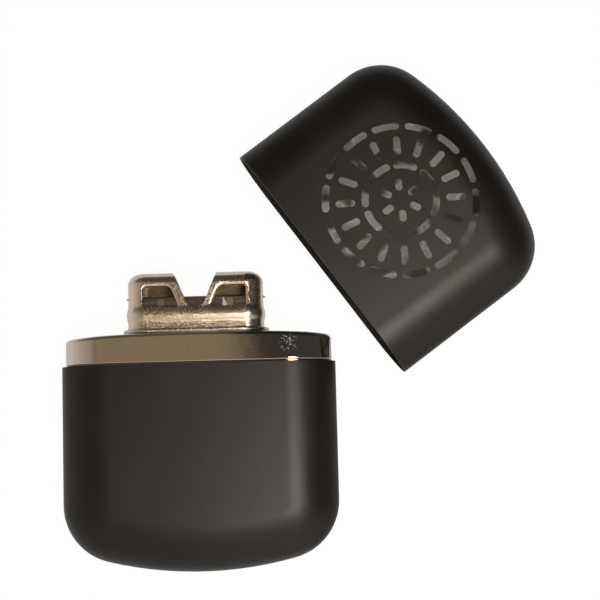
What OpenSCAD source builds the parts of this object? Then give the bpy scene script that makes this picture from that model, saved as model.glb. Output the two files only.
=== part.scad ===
// Catalytic pocket hand warmer: a lighter-fuel tank with a plated collar,
// a push-on burner head over the filler neck, and a vented push-on cap.
// Both halves lie on their backs on one surface, with the cap pulled off and
// set down beside the tank, turned away from it.
//
// Every piece is drawn upright first: X across the width, Y through the
// thickness with the front at -Y, and Z up the height from the tank's closed end.
// lay_tank() and lay_cap() then put it down on its back, front upwards.
// The row's origin is under the tank, half-way up it, on the surface it lies on.

/* [Casing] */
// Width of the tank and the cap across the sides
case_w = 68; // [60:0.5:76]
// Thickness of the tank and the cap
case_t = 17; // [15.5:0.5:20]
// Width of the rounded band along every outer edge, seen from the front
edge_band = 12.5; // [10:0.25:12.75]
// Wall of the drawn tank shell and the drawn cap
case_wall = 0.6; // [0.5:0.05:1]

/* [Tank] */
// Height of the black tank shell, from its closed end to its rim
tank_h = 51; // [44:0.5:58]
// Radius of the tank's two lower corners, seen from the front
tank_corner = 14.5; // [13:0.5:18]
// Radius of the tank's bowed closed end, seen from the front
tank_crown = 93; // [70:1:140]

/* [Cap] */
// Height of the cap, from its open rim to its closed end
cap_h = 51; // [46:0.5:58]
// Radius of the cap's two upper corners, seen from the front
cap_corner = 13.5; // [13:0.5:17]
// Radius of the cap's bowed closed end, seen from the front
cap_crown = 88.5; // [75:0.5:160]
// How far the cap's rim lies to the right of the tank's centre line
cap_right = 31.2; // [30:0.1:45]
// How far the middle of the cap's rim lies beyond the tank shell's rim
cap_beyond = 24.3; // [22:0.1:40]
// Angle that the cap lies turned away from the tank
cap_turn = 54.1; // [45:0.1:70]

/* [Vents] */
// Width of each vent slot
slot_w = 1.8; // [1:0.1:2]
// Height of the vent rosette's centre above the cap's rim
vent_centre_h = 24.5; // [22:0.5:27]
// Distance between one ring of vents and the next
vent_ring_step = 4.9; // [4.2:0.1:5.1]
// Radius of the innermost ring of vents
vent_first_r = 3.9; // [3.5:0.1:4.5]
// Length of the straight slots in the first ring
vent_short = 3; // [2.5:0.1:3.5]
// Number of straight slots in the first ring
first_count = 6; // [4:1:6]
// Number of curved slots in the second ring
second_count = 8; // [5:1:9]
// Length of the straight slots in the third ring
vent_long = 4.9; // [3.5:0.1:5]
// Number of straight slots in the third ring
third_count = 16; // [10:1:20]
// Number of curved slots in the fourth ring
fourth_count = 14; // [9:1:16]
// Share of each ring that its curved slots take up
vent_arc_share = 0.62; // [0.4:0.01:0.7]

/* [Collar] */
// Gap between the cap's inner face and the collar it pushes onto
cap_gap = 0.35; // [0.1:0.05:0.5]
// Height of the collar's visible wall at the sides
collar_h = 6.6; // [5:0.1:9]
// Sheet of the collar and its deck
collar_sheet = 0.6; // [0.4:0.05:0.8]
// Rise of the bowed deck from the sides to the middle
deck_rise = 1.1; // [0.8:0.1:1.8]
// Length of the collar's lap inside the tank shell
lap_h = 5; // [3:0.5:8]

/* [Filler neck] */
// Room between the filler neck and the burner socket that slides over it
neck_slip = 0.7; // [0.5:0.05:0.9]
// Wall of the filler neck
neck_wall = 0.4; // [0.3:0.05:0.6]
// Height of the neck above its flange
neck_rise = 4.4; // [3.5:0.1:5]
// How far the neck and the burner head stand left of the tank's middle
neck_left = 0.4; // [0:0.1:0.8]
// How far the flange reaches past the neck all round
flange_reach = 2.9; // [2.4:0.1:3]
// Thickness of the flange
flange_t = 1; // [0.7:0.05:1.2]
// Thickness of the neck's turned-out lip under the deck
lip_t = 0.5; // [0.4:0.05:0.7]
// How far the lip reaches past the neck
lip_reach = 1; // [0.6:0.1:1.4]
// Depth of the cup above the mouth plate
mouth_cup = 5.1; // [4.5:0.1:5.4]
// Thickness of the mouth plate
plate_t = 0.4; // [0.3:0.05:0.6]
// Depth of the wick felt below the neck's lip
felt_drop = 2.2; // [1:0.1:4]

/* [Burner] */
// Width of the burner head's upper part
burner_w = 33.6; // [28:0.1:36]
// Thickness of the burner head's upper part
burner_t = 11.4; // [11.1:0.1:12]
// Radius of the burner head's upright corners
burner_corner = 4.6; // [4:0.1:5]
// Height of the burner head above the flange
burner_h = 14; // [13:0.1:15]
// Sheet of the burner shroud
shroud_sheet = 0.45; // [0.3:0.05:0.5]
// Radius of the shroud's rounded top edge
shroud_edge = 3.2; // [1.2:0.1:3.6]
// How far the rolled skirt stands out past the shroud's upper part
skirt_out = 0.35; // [0.2:0.05:0.5]
// Height of the skirt's lower edge above the flange
skirt_foot_h = 0.6; // [0.4:0.1:1]
// Height of the skirt's upper edge above the flange
skirt_top_h = 4.2; // [3.4:0.1:4.6]
// Height of each of the skirt's two rounded edges
skirt_roll = 0.5; // [0.3:0.05:0.6]
// Height of the lighting notch's bottom above the flange
notch_foot_h = 5.2; // [5.1:0.1:5.4]
// Height of the windows' sills above the flange
sill_h = 5.5; // [5.1:0.1:5.7]
// Width of the lighting notch at the shroud's top
notch_w = 11; // [9:0.5:12]
// Radius of the lighting notch's bottom
notch_r = 2.8; // [2:0.1:3]
// Height of each window
window_h = 4.9; // [3.5:0.05:5.2]
// Distance from the shroud's middle to a window's outer side
window_outer = 12.6; // [11.6:0.1:13]
// Width of the strip left between the notch and each window
strip_w = 2; // [1.6:0.1:2.4]

/* [Burner socket] */
// Sheet of the socket inside the shroud
base_sheet = 0.35; // [0.25:0.05:0.45]
// Width of the socket's shelf that stops on the neck and carries the gauze
shelf_rim = 1.9; // [1.6:0.1:2.2]
// Thickness of the two leaf springs that grip the neck
spring_sheet = 0.25; // [0.2:0.01:0.3]
// Width of the two leaf springs
spring_w = 12; // [8:0.5:16]

/* [Catalyst] */
// Thickness of the wire gauze under the catalyst mat
gauze_t = 0.4; // [0.3:0.05:0.6]
// Thickness of the catalyst mat
mat_t = 2.3; // [1.8:0.05:2.5]
// Sheet of the cage over the mat
cage_sheet = 0.3; // [0.2:0.05:0.4]
// Room between the cage and the inside of the shroud
cage_gap = 0.65; // [0.5:0.05:0.9]
// Width of the wide hole in the middle of the cage, behind the lighting notch
cage_opening = 15.4; // [12:0.1:16]
// Width of the bars on either side of that hole
cage_bar = 1.7; // [1.2:0.1:2]
// Width of the solid sheet left at each end of the cage
cage_end = 2.3; // [1.8:0.1:2.6]
// Width of the cage's two end tabs
tab_w = 2.4; // [1.6:0.1:3]
// How far the end tabs stand out through the shroud
tab_out = 0.4; // [0.2:0.05:0.5]
// Distance from one wire of the gauze to the next
gauze_pitch = 1.3; // [1.1:0.1:1.6]
// Width of the gauze's wires
gauze_wire = 0.35; // [0.3:0.05:0.45]

/* [Hidden] */

fit = 0.05;        // gap between sheet pieces that are pressed or soldered together
slip_gap = 0.1;    // gap between the neck's rim and the shelf that stops on it
soft_gap = 0.3;    // gap round felt and cotton
cut = 1;           // how far a cutter runs past what it cuts
corner_steps = 10; // flats along each front corner of the casing
crown_steps = 12;  // flats along the closed end of the casing
edge_steps = 8;    // flats from the rim of the edge band to the face

half_w = case_w / 2;
half_t = case_t / 2;

// The collar lies inside the casing by the cap's wall and its gap.
collar_in = case_wall + cap_gap;
deck_side_z = tank_h + collar_h;
deck_z = deck_side_z + deck_rise;
deck_half = half_w - collar_in;
deck_r = (deck_half * deck_half + deck_rise * deck_rise) / (2 * deck_rise);

// The burner's base fits inside the shroud and slides over the filler neck.
base_w = burner_w - 2 * shroud_sheet - 2 * fit;
base_t = burner_t - 2 * shroud_sheet - 2 * fit;
base_corner = burner_corner - shroud_sheet - fit;
neck_w = base_w - 2 * base_sheet - 2 * neck_slip;
neck_t = base_t - 2 * base_sheet - 2 * neck_slip;
neck_inner_w = neck_w - 2 * neck_wall;
neck_inner_t = neck_t - 2 * neck_wall;

// The filler neck stands in the deck, held by its flange above and its lip below.
flange_z = deck_z + flange_t;
neck_top_z = flange_z + neck_rise;
lip_z = deck_z - collar_sheet - deck_sag(neck_w / 2 + lip_reach + neck_left) - fit;

// The mouth plate lies low enough in the neck to leave a cup for filling.
plate_z = neck_top_z - mouth_cup - plate_t;
wadding_top_z = lip_z - lip_t - felt_drop;

// The base's shelf stops on the neck's rim and carries the gauze.
base_foot_z = flange_z + 2 * slip_gap;
shelf_z = neck_top_z + slip_gap;
gauze_z = shelf_z + base_sheet;

// The cage stands on the shelf round the gauze and the mat.
cage_w = burner_w - 2 * shroud_sheet - 2 * cage_gap;
cage_t = burner_t - 2 * shroud_sheet - 2 * cage_gap;
cage_corner = burner_corner - shroud_sheet - cage_gap;
mat_z = gauze_z + gauze_t + fit;
cage_top_z = mat_z + mat_t + fit + cage_sheet;

burner_top_z = flange_z + burner_h;
notch_foot_z = flange_z + notch_foot_h;
sill_z = flange_z + sill_h;
skirt_top_z = flange_z + skirt_top_h;
skirt_foot_z = flange_z + skirt_foot_h;

// Sides of the lighting notch, tangent to its round bottom.
notch_centre_z = notch_foot_z + notch_r;
notch_rise = burner_top_z - notch_centre_z;
notch_lean = notch_side_angle();

// The row's origin is under the tank, half-way up it.
origin_z = tank_h / 2;

// How far the bowed deck has dropped at a distance from the middle
function deck_sag(x) = deck_r - sqrt(deck_r * deck_r - x * x);

// Angle of the notch's sides from upright: a line from the top corner that touches the round bottom
function notch_side_angle() =
    let (
        reach = sqrt(pow(notch_w / 2, 2) + notch_rise * notch_rise),
        to_corner = atan2(notch_w / 2, notch_rise),
        to_tangent = asin(notch_r / reach)
    )
    to_corner - to_tangent;

// Height at which a casing's sides start to turn into its corners
function side_end(corner, crown) =
    crown - sqrt(pow(crown - corner, 2) - pow(half_w - corner, 2));

// Angle from the middle at which the bowed end meets each corner
function crown_angle(corner, crown) = asin((half_w - corner) / (crown - corner));

// Front outline of a casing, closed end down, as [x, z, inward x, inward z], from the right rim to the left rim
function front_path(h, corner, crown, inset) =
    let (
        z0 = side_end(corner, crown),
        meet = crown_angle(corner, crown),
        right = concat(
            [[half_w - inset, h, -1, 0]],
            [for (i = [0:corner_steps])
                let (a = (90 - meet) * i / corner_steps)
                [
                    half_w - corner + (corner - inset) * cos(a), z0 - (corner - inset) * sin(a),
                    -cos(a), sin(a)
                ]
            ],
            [for (i = [1:crown_steps / 2])
                let (a = meet * (1 - 2 * i / crown_steps))
                [(crown - inset) * sin(a), crown - (crown - inset) * cos(a), -sin(a), cos(a)]
            ]
        ),
        last = len(right) - 1
    )
    concat(right, [for (i = [last - 1:-1:0]) [-right[i][0], right[i][1], -right[i][2], right[i][3]]]);

// Edge profile of a casing as [distance in from the outline, y], from the front face round to the back
function edge_profile(inset) = [
    for (j = [-edge_steps:edge_steps])
        let (a = 90 * j / edge_steps)
        [(edge_band - inset) * (1 - cos(a)), (half_t - inset) * sin(a)]
];

// Solid with the casing's rounded form, drawn in by an inset, closed end at Z = 0 and flat end at Z = h
module casing_form(h, corner, crown, inset) {
    path = front_path(h, corner, crown, inset);
    profile = edge_profile(inset);
    n = len(path);
    m = len(profile);
    points = [
        for (p = path)
            for (q = profile)
                [p[0] + p[2] * q[0], q[1], p[1] + p[3] * q[0]]
    ];
    band = [
        for (i = [0:n - 2])
            for (j = [0:m - 2])
                let (a = i * m + j, b = a + 1, c = a + m, d = c + 1)
                each [[a, b, c], [b, d, c]]
    ];
    front_face = [[for (i = [0:n - 1]) i * m]];
    back_face = [[for (i = [n - 1:-1:0]) i * m + m - 1]];
    flat_end = [concat([for (j = [m - 1:-1:0]) j], [for (j = [0:m - 1]) (n - 1) * m + j])];
    polyhedron(points = points, faces = concat(band, front_face, back_face, flat_end), convexity = 4);
}

// Plan of the casing's straight sides, drawn in by an inset
module casing_plan(inset) {
    flat_half = half_w - edge_band;
    quarter = [
        for (j = [0:2 * edge_steps])
            let (a = 45 * j / edge_steps)
            [flat_half + (edge_band - inset) * cos(a), (half_t - inset) * sin(a)]
    ];
    last = len(quarter) - 1;
    polygon(concat(
        quarter,
        [for (j = [last:-1:0]) [-quarter[j][0], quarter[j][1]]],
        [for (j = [1:last]) [-quarter[j][0], -quarter[j][1]]],
        [for (j = [last:-1:1]) [quarter[j][0], -quarter[j][1]]]
    ));
}

// Rectangle with round corners, centred
module round_rect(w, t, r) {
    square([w - 2 * r, t], center = true);
    square([w, t - 2 * r], center = true);
    for (x = [-1, 1])
        for (y = [-1, 1])
            translate([x * (w / 2 - r), y * (t / 2 - r)])
                circle(r = r, $fn = 48);
}

// Slot with round ends, centred
module obround(w, t) {
    square([w - t, t], center = true);
    for (x = [-1, 1])
        translate([x * (w - t) / 2, 0])
            circle(d = t, $fn = 64);
}

// Space under the bowed deck, lowered by an amount
module under_deck(drop) {
    translate([0, 0, deck_z - drop - deck_r])
        rotate([90, 0, 0])
            cylinder(r = deck_r, h = case_t + 2 * cut, center = true, $fn = 256);
}

// Lays an upright tank piece on its back, front upwards, with the row's origin half-way up the tank
module lay_tank() {
    translate([0, -origin_z, half_t])
        rotate([-90, 0, 0])
            children();
}

// Lays an upright piece of the neck or the burner head on its back, left of the tank's middle
module lay_neck() {
    lay_tank()
        translate([-neck_left, 0, 0])
            children();
}

// Lays the upright cap on its back beside the tank, turned away from it
module lay_cap() {
    translate([cap_right, tank_h + cap_beyond - origin_z, half_t])
        rotate([0, 0, -cap_turn])
            rotate([-90, 0, 0])
                children();
}

// Black drawn shell that holds the fuel
module tank_shell() {
    color("#2b2825")
        lay_tank()
            difference() {
                casing_form(tank_h, tank_corner, tank_crown, 0);
                casing_form(tank_h + cut, tank_corner, tank_crown, case_wall);
            }
}

// Plated collar and bowed deck in one drawn piece, with a wider lap that sits inside the tank shell
module tank_top() {
    lap_in = case_wall + fit;
    lap_step = 0.6;
    color("#b9b2a8")
        lay_tank()
            difference() {
                union() {
                    translate([0, 0, tank_h - lap_h])
                        linear_extrude(lap_h - lap_step)
                            casing_plan(lap_in);
                    intersection() {
                        translate([0, 0, tank_h - lap_h])
                            linear_extrude(lap_h + collar_h + deck_rise + cut)
                                casing_plan(collar_in);
                        under_deck(0);
                    }
                }
                intersection() {
                    translate([0, 0, tank_h - lap_h - cut])
                        linear_extrude(lap_h + collar_h + deck_rise + 2 * cut)
                            casing_plan(collar_in + collar_sheet);
                    under_deck(collar_sheet);
                }
                translate([-neck_left, 0, deck_side_z - collar_sheet - cut])
                    linear_extrude(deck_rise + collar_sheet + 2 * cut)
                        obround(neck_w + 2 * fit, neck_t + 2 * fit);
            }
}

// Filler neck: a tube with a flange above the deck and a turned-out lip below it
module filler_neck() {
    color("#a49a8e")
        lay_neck()
            difference() {
                union() {
                    translate([0, 0, lip_z - lip_t])
                        linear_extrude(neck_top_z - lip_z + lip_t)
                            obround(neck_w, neck_t);
                    translate([0, 0, deck_z])
                        linear_extrude(flange_t)
                            obround(neck_w + 2 * flange_reach, neck_t + 2 * flange_reach);
                    translate([0, 0, lip_z - lip_t])
                        linear_extrude(lip_t)
                            obround(neck_w + 2 * lip_reach, neck_t + 2 * lip_reach);
                }
                translate([0, 0, lip_z - lip_t - cut])
                    linear_extrude(neck_top_z - lip_z + lip_t + 2 * cut)
                        obround(neck_inner_w, neck_inner_t);
            }
}

// Perforated plate in the mouth that holds the felt down
module mouth_plate() {
    hole_w = 6.5;
    hole_t = 4;
    hole_pitch = 8.4;
    color("#8f877c")
        lay_neck()
            translate([0, 0, plate_z])
                linear_extrude(plate_t)
                    difference() {
                        obround(neck_inner_w - 2 * fit, neck_inner_t - 2 * fit);
                        for (i = [-1:1])
                            translate([i * hole_pitch, 0])
                                obround(hole_w, hole_t);
                    }
}

// Felt wick that fills the neck between the cotton and the mouth plate
module wick_felt() {
    color("#d8d2c4")
        lay_neck()
            translate([0, 0, wadding_top_z])
                linear_extrude(plate_z - wadding_top_z)
                    obround(neck_inner_w - 2 * soft_gap, neck_inner_t - 2 * soft_gap);
}

// Cotton that soaks up the fuel and fills the tank
module cotton_wadding() {
    shell_in = case_wall + soft_gap;
    collar_inner = collar_in + collar_sheet + soft_gap;
    lower_top_z = tank_h - lap_h - soft_gap;
    overlap = 2;
    color("#efece4")
        lay_tank()
            union() {
                casing_form(lower_top_z, tank_corner, tank_crown, shell_in);
                translate([0, 0, lower_top_z - overlap])
                    linear_extrude(wadding_top_z - lower_top_z + overlap)
                        casing_plan(collar_inner);
            }
}

// Upper body of the burner shroud as a solid block with a round top edge, drawn in by an inset
module shroud_block(inset, floor_z) {
    w = burner_w - 2 * inset;
    t = burner_t - 2 * inset;
    h = burner_top_z - inset - floor_z;
    edge = shroud_edge - inset;
    translate([0, 0, floor_z])
        intersection() {
            linear_extrude(h)
                round_rect(w, t, burner_corner - inset);
            rotate([90, 0, 0])
                linear_extrude(t + 2 * cut, center = true)
                    top_rounded(w, h, edge);
            rotate([90, 0, 90])
                linear_extrude(w + 2 * cut, center = true)
                    top_rounded(t, h, edge);
        }
}

// Upright rectangle on Y = 0 with its two upper corners rounded
module top_rounded(w, h, r) {
    translate([-w / 2, 0])
        square([w, h - r]);
    translate([-w / 2 + r, 0])
        square([w - 2 * r, h]);
    for (x = [-1, 1])
        translate([x * (w / 2 - r), h - r])
            circle(r = r, $fn = 48);
}

// Rolled skirt round the foot of the shroud, drawn out or in by an amount
module skirt_block(out) {
    for (band = [
        [skirt_foot_z, skirt_top_z, 0.5],
        [skirt_foot_z + skirt_roll, skirt_top_z - skirt_roll, 1]
    ])
        translate([0, 0, band[0]])
            linear_extrude(band[1] - band[0])
                round_rect(
                    burner_w + 2 * (out + skirt_out * band[2]),
                    burner_t + 2 * (out + skirt_out * band[2]),
                    burner_corner + out + skirt_out * band[2]
                );
}

// Lighting notch with a round bottom, seen from the front
module notch_shape() {
    touch_x = notch_r * cos(notch_lean);
    touch_z = notch_centre_z - notch_r * sin(notch_lean);
    past_x = notch_w / 2 + cut * tan(notch_lean);
    translate([0, notch_centre_z])
        circle(r = notch_r, $fn = 64);
    polygon([
        [-touch_x, touch_z], [touch_x, touch_z],
        [past_x, burner_top_z + cut], [-past_x, burner_top_z + cut]
    ]);
}

// One window beside the notch, with its inner side parallel to the notch's side
module window_shape() {
    side_x = notch_w / 2 - (burner_top_z - sill_z) * tan(notch_lean) + strip_w / cos(notch_lean);
    polygon([
        [side_x, sill_z],
        [window_outer, sill_z],
        [window_outer, sill_z + window_h],
        [side_x + window_h * tan(notch_lean), sill_z + window_h]
    ]);
}

// Stamped cover of the burner head, with the lighting notch, two windows in front and two tab slots
module burner_shroud() {
    color("#b8a284")
        lay_neck()
            difference() {
                union() {
                    shroud_block(0, flange_z);
                    skirt_block(0);
                }
                shroud_block(shroud_sheet, flange_z - cut);
                skirt_block(-shroud_sheet);
                rotate([90, 0, 0]) {
                    linear_extrude(burner_t + 2 * cut, center = true)
                        notch_shape();
                    linear_extrude(burner_t / 2 + cut) {
                        window_shape();
                        mirror([1, 0, 0])
                            window_shape();
                    }
                }
                translate([0, 0, cage_top_z - cage_sheet / 2])
                    cube([burner_w + 2 * cut, tab_w + 4 * fit, cage_sheet + 2 * fit], center = true);
            }
}

// Socket inside the shroud that slides over the neck, with a shelf on top for the gauze and the cage
module burner_base() {
    color("#9d948a")
        lay_neck()
            difference() {
                translate([0, 0, base_foot_z])
                    linear_extrude(gauze_z - base_foot_z)
                        round_rect(base_w, base_t, base_corner);
                translate([0, 0, base_foot_z - cut])
                    linear_extrude(shelf_z - base_foot_z + cut)
                        round_rect(
                            base_w - 2 * base_sheet, base_t - 2 * base_sheet, base_corner - base_sheet
                        );
                translate([0, 0, shelf_z - cut])
                    linear_extrude(base_sheet + 2 * cut)
                        obround(base_w - 2 * shelf_rim, base_t - 2 * shelf_rim);
            }
}

// Bowed leaf spring between the socket and the neck, on the back (side 1) or the front (side -1)
module leaf_spring(side) {
    seat_y = base_t / 2 - base_sheet;
    grip_y = neck_t / 2 + fit;
    end_h = 0.4;
    foot_z = base_foot_z + end_h;
    top_z = shelf_z - end_h;
    middle_z = (foot_z + top_z) / 2;
    outer = [
        [seat_y, foot_z], [seat_y, foot_z + end_h], [grip_y + spring_sheet, middle_z],
        [seat_y, top_z - end_h], [seat_y, top_z]
    ];
    inner = [for (i = [len(outer) - 1:-1:0]) [outer[i][0] - spring_sheet, outer[i][1]]];
    color("#8a8d90")
        lay_neck()
            rotate([90, 0, 90])
                linear_extrude(spring_w, center = true)
                    polygon([for (p = concat(outer, inner)) [side * p[0], p[1]]]);
}

module spring_clip_front() {
    leaf_spring(-1);
}

module spring_clip_back() {
    leaf_spring(1);
}

// Wire gauze that carries the catalyst mat
module support_gauze() {
    w = cage_w - 2 * cage_sheet - 2 * fit;
    t = cage_t - 2 * cage_sheet - 2 * fit;
    corner = cage_corner - cage_sheet - fit;
    hole = gauze_pitch - gauze_wire;
    columns = floor((w - 2 * corner) / gauze_pitch / 2);
    rows = floor((t - 2 * gauze_wire) / gauze_pitch / 2);
    color("#8d8578")
        lay_neck()
            translate([0, 0, gauze_z])
                linear_extrude(gauze_t)
                    difference() {
                        round_rect(w, t, corner);
                        for (i = [-columns:columns])
                            for (j = [-rows:rows])
                                translate([i * gauze_pitch, j * gauze_pitch])
                                    square(hole, center = true);
                    }
}

// Glass-fibre mat that carries the catalyst
module catalyst_mat() {
    color("#8c857c")
        lay_neck()
            translate([0, 0, mat_z])
                linear_extrude(mat_t)
                    round_rect(
                        cage_w - 2 * cage_sheet - 2 * fit, cage_t - 2 * cage_sheet - 2 * fit,
                        cage_corner - cage_sheet - fit
                    );
}

// Triangular lance cut from one of the cage's bars and bent outwards over the wide hole
module lance() {
    bend = 14;
    foot_h = 0.5;
    lance_h = cage_top_z - gauze_z - 1.2 * foot_h;
    translate([(cage_opening + cage_bar) / 2, -cage_t / 2, gauze_z + foot_h])
        rotate([0, 0, bend])
            rotate([90, 0, 0])
                translate([0, 0, -cage_sheet])
                    linear_extrude(cage_sheet)
                        polygon([[0, 0], [-cage_bar, 0], [-cage_bar, lance_h]]);
}

// Perforated cage over the mat, with an end tab through each end of the shroud and two bent lances
module catalyst_cage() {
    rail_h = 0.6;
    wall_hole_h = cage_top_z - gauze_z - 2 * rail_h;
    top_hole_t = (cage_t - 3 * cage_bar) / 2;
    outer_hole_w = (cage_w - cage_opening) / 2 - cage_bar - cage_end;
    outer_hole_x = (cage_w - outer_hole_w) / 2 - cage_end;
    tab_len = burner_w / 2 + tab_out - cage_w / 2 + 2 * cage_sheet;
    color("#85786a")
        lay_neck()
            union() {
                difference() {
                    translate([0, 0, gauze_z])
                        linear_extrude(cage_top_z - gauze_z)
                            round_rect(cage_w, cage_t, cage_corner);
                    translate([0, 0, gauze_z - cut])
                        linear_extrude(cage_top_z - cage_sheet - gauze_z + cut)
                            round_rect(
                                cage_w - 2 * cage_sheet, cage_t - 2 * cage_sheet,
                                cage_corner - cage_sheet
                            );
                    for (hole = [[-outer_hole_x, outer_hole_w], [0, cage_opening], [outer_hole_x, outer_hole_w]])
                        translate([hole[0], 0, 0]) {
                            translate([0, 0, gauze_z + rail_h + wall_hole_h / 2])
                                cube([hole[1], cage_t + 2 * cut, wall_hole_h], center = true);
                            for (side = [-1, 1])
                                translate([0, side * (top_hole_t + cage_bar) / 2, cage_top_z - cage_sheet / 2])
                                    cube([hole[1], top_hole_t, cage_sheet + 2 * cut], center = true);
                        }
                }
                for (turn = [0, 180])
                    rotate([0, 0, turn]) {
                        translate([burner_w / 2 + tab_out - tab_len / 2, 0, cage_top_z - cage_sheet / 2])
                            cube([tab_len, tab_w, cage_sheet], center = true);
                        lance();
                    }
            }
}

// Straight vent slot pointing away from the rosette's centre
module straight_slot(r, len) {
    translate([0, r])
        rotate([0, 0, 90])
            obround(len, slot_w);
}

// Curved vent slot that follows its ring
module curved_slot(r, sweep) {
    steps = 8;
    spread = [for (i = [0:steps]) sweep * (i / steps - 0.5)];
    outer = [for (a = spread) (r + slot_w / 2) * [sin(a), cos(a)]];
    inner = [for (i = [steps:-1:0]) (r - slot_w / 2) * [sin(spread[i]), cos(spread[i])]];
    polygon(concat(outer, inner));
    for (side = [-0.5, 0.5])
        translate(r * [sin(side * sweep), cos(side * sweep)])
            circle(d = slot_w, $fn = 24);
}

// Generic vent rosette: rings of straight slots and rings of curved slots in turn
module vent_rosette() {
    ring_r = [for (i = [0:3]) vent_first_r + i * vent_ring_step];
    for (i = [1:first_count])
        rotate([0, 0, i * 360 / first_count])
            straight_slot(ring_r[0], vent_short);
    for (i = [1:second_count])
        rotate([0, 0, i * 360 / second_count])
            curved_slot(ring_r[1], 360 / second_count * vent_arc_share);
    for (i = [1:third_count])
        rotate([0, 0, (i + 0.5) * 360 / third_count])
            straight_slot(ring_r[2], vent_long);
    for (i = [1:fourth_count])
        rotate([0, 0, (i + 0.5) * 360 / fourth_count])
            curved_slot(ring_r[3], 360 / fourth_count * vent_arc_share);
}

// Black drawn cap, open end down, with the vent rosette through its front
module cap_shell() {
    color("#262320")
        lay_cap()
            difference() {
                translate([0, 0, cap_h])
                    mirror([0, 0, 1])
                        casing_form(cap_h, cap_corner, cap_crown, 0);
                translate([0, 0, cap_h])
                    mirror([0, 0, 1])
                        casing_form(cap_h + cut, cap_corner, cap_crown, case_wall);
                translate([0, 0, vent_centre_h])
                    rotate([90, 0, 0])
                        linear_extrude(half_t + cut)
                            vent_rosette();
            }
}

tank_shell();
tank_top();
filler_neck();
mouth_plate();
wick_felt();
cotton_wadding();
burner_shroud();
burner_base();
spring_clip_front();
spring_clip_back();
support_gauze();
catalyst_mat();
catalyst_cage();
cap_shell();
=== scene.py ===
"""Catalytic pocket hand warmer: modelled pieces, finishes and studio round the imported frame.

Pieces are modelled upright in millimetres, closed end down and front at -Y, with the same
sizes as the frame. Each is then laid on its back in metres, where the frame has it.
"""

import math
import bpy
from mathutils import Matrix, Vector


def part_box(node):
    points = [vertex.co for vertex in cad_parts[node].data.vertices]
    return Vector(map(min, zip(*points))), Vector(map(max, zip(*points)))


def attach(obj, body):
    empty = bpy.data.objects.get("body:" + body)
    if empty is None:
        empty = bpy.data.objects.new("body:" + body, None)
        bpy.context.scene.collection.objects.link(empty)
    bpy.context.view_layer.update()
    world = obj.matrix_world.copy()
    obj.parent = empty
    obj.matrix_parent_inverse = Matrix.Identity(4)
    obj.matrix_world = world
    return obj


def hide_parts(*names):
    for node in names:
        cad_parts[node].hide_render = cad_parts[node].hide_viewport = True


bl_info = {
    "name": "Catalytic Hand Warmer",
    "version": (1, 0, 0),
    "blender": (4, 5, 0),
    "location": "3D View > Sidebar > Hand Warmer",
    "description": "Models the casings, the burner and the filling of a catalytic hand warmer",
    "category": "Mesh",
}

from types import SimpleNamespace

import bmesh
import bpy
from mathutils import Matrix, Vector

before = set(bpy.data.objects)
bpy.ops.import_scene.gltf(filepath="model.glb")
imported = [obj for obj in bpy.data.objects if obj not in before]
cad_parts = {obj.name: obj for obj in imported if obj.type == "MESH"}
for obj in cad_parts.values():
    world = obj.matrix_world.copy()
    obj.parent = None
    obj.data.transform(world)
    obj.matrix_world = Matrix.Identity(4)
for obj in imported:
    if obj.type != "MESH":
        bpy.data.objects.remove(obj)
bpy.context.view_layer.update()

MM = 0.001
EDGE_STEPS = 16     # steps of a casing's rounded edge, from its rim to the flat face
CORNER_STEPS = 14   # steps round each corner of a casing
CROWN_STEPS = 13    # steps along a casing's bowed end, odd so that the two halves can be bridged
TURN_STEPS = 64     # steps round a turned piece
SMOOTH_ANGLE = math.radians(35)
UPRIGHT = (math.pi / 2, 0, 0)


def span(node, axis):
    """Length of a node's box along an axis."""
    low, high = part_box(node)
    return high[axis] - low[axis]


def length(label, about, default, unit="LENGTH"):
    return bpy.props.FloatProperty(name=label, description=about, default=default, unit=unit, precision=5)


def tint(label, about, default):
    return bpy.props.FloatVectorProperty(
        name=label, description=about, default=default, size=3, subtype="COLOR", min=0.0, max=1.0
    )


class WarmerSizes(bpy.types.PropertyGroup):
    case_width: length("Case width", "Width of the tank and the cap", span("tank_shell", 0))
    case_depth: length("Case depth", "Thickness of the tank and the cap", span("tank_shell", 2))
    edge_band: length("Edge band", "Width of the rounded band along the edges", 12.5 * MM)
    case_wall: length("Case wall", "Wall of the tank shell and the cap", 0.6 * MM)
    tank_height: length("Tank height", "Height of the black tank shell", span("tank_shell", 1))
    tank_corner: length("Tank corner", "Radius of the tank's corners", 14.5 * MM)
    tank_crown: length("Tank crown", "Radius of the tank's bowed end", 93 * MM)
    cap_height: length("Cap height", "Height of the cap", 51 * MM)
    cap_corner: length("Cap corner", "Radius of the cap's corners", 13.5 * MM)
    cap_crown: length("Cap crown", "Radius of the cap's bowed end", 88.5 * MM)
    cap_right: length("Cap right", "Place of the cap's rim to the right", 31.2 * MM)
    cap_beyond: length("Cap beyond", "Place of the cap's rim beyond the tank's rim", 24.3 * MM)
    cap_turn: length("Cap turn", "Angle the cap lies turned", math.radians(54.1), "ROTATION")
    slot_width: length("Slot width", "Width of each vent slot", 1.8 * MM)
    ring_step: length("Ring step", "Distance from one ring of vents to the next", 4.9 * MM)
    first_ring: length("First ring", "Radius of the innermost ring of vents", 3.9 * MM)
    vent_centre: length("Vent centre", "Height of the rosette's centre above the cap's rim", 24.5 * MM)
    deck_rise: length("Deck rise", "Rise of the bowed deck", 1.1 * MM)
    collar_in: length("Collar step", "Step from the casing in to the collar", 0.95 * MM)
    flange_width: length("Flange width", "Width of the neck's flange", span("filler_neck", 0))
    burner_width: length("Burner width", "Width of the burner cover", span("burner_shroud", 0) - 0.7 * MM)
    burner_depth: length("Burner depth", "Thickness of the burner cover", span("burner_shroud", 2) - 0.7 * MM)


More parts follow.
